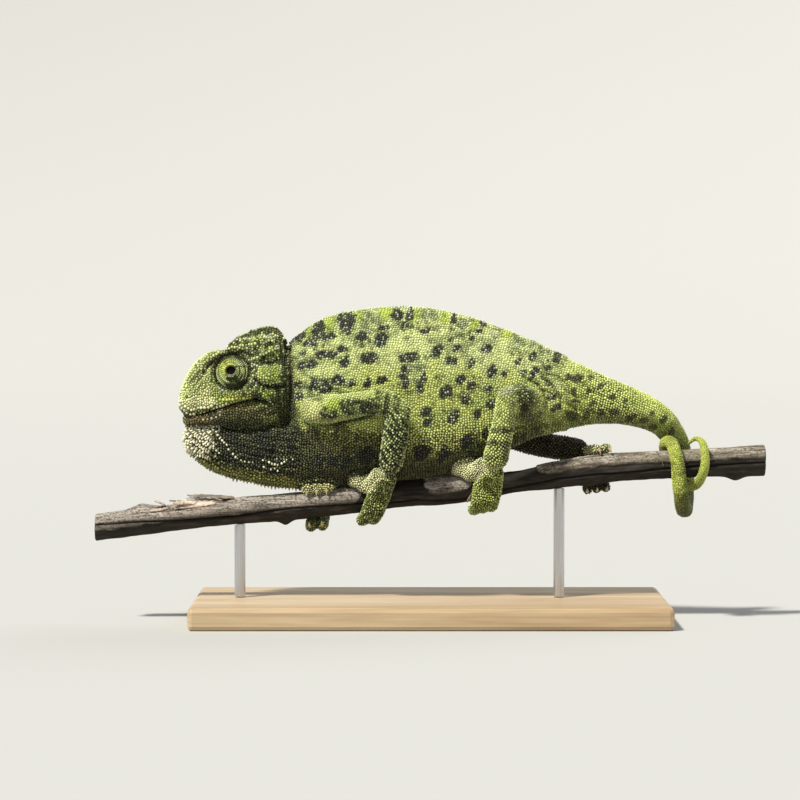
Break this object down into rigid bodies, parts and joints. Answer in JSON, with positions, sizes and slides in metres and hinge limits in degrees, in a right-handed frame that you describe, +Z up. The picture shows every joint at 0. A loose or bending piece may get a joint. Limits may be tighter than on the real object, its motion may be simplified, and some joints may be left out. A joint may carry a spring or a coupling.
{
  "type": "common chameleon display model",
  "caption": "Life-size still model of a common chameleon gripping a short cut length of branch, carried by two rods on a flat display base.",
  "frame": {"origin": "centre of the stand's underside, on the floor", "axes": "+Z up; the head points along -X and the tail along +X; the animal's left side faces -Y"},
  "size_m": [0.241, 0.084, 0.113],
  "materials": {
    "skin": "matt granular scales, yellow-green with charcoal spots",
    "head_skin": "matt granular scales, green",
    "throat_skin": "matt granular scales, dark olive with pale tubercles",
    "claw_horn": "satin horn",
    "eye": "wet gloss",
    "weathered_wood": "grey weathered bark",
    "stand_wood": "satin stained wood",
    "rod_metal": "brushed"
  },
  "bodies": {
    "root": {"eyeball_left": "eye", "eyeball_right": "eye", "eyelid_left": "head_skin", "eyelid_right": "head_skin", "head": "head_skin", "left_foot_claw_1": "claw_horn", "left_foot_claw_2": "claw_horn", "left_foot_claw_3": "claw_horn", "left_foot_claw_4": "claw_horn", "left_foot_claw_5": "claw_horn", "left_foot_inner": "skin", "left_foot_outer": "skin", "left_forearm": "skin", "left_hand_claw_1": "claw_horn", "left_hand_claw_2": "claw_horn", "left_hand_claw_3": "claw_horn", "left_hand_claw_4": "claw_horn", "left_hand_claw_5": "claw_horn", "left_hand_inner": "skin", "left_hand_outer": "skin", "left_shank": "skin", "left_thigh": "skin", "left_upper_arm": "skin", "lower_jaw": "throat_skin", "neck": "skin", "perch_branch": "weathered_wood", "right_foot_claw_1": "claw_horn", "right_foot_claw_2": "claw_horn", "right_foot_claw_3": "claw_horn", "right_foot_claw_4": "claw_horn", "right_foot_claw_5": "claw_horn", "right_foot_inner": "skin", "right_foot_outer": "skin", "right_forearm": "skin", "right_hand_claw_1": "claw_horn", "right_hand_claw_2": "claw_horn", "right_hand_claw_3": "claw_horn", "right_hand_claw_4": "claw_horn", "right_hand_claw_5": "claw_horn", "right_hand_inner": "skin", "right_hand_outer": "skin", "right_shank": "skin", "right_thigh": "skin", "right_upper_arm": "skin", "stand_base": "stand_wood", "stand_rod_front": "rod_metal", "stand_rod_rear": "rod_metal", "tail_1": "skin", "tail_2": "skin", "tail_3": "skin", "tail_4": "skin", "tail_5": "skin", "tail_6": "skin", "tail_7": "skin", "throat_pouch": "throat_skin", "trunk": "skin"}
  },
  "joints": []
}
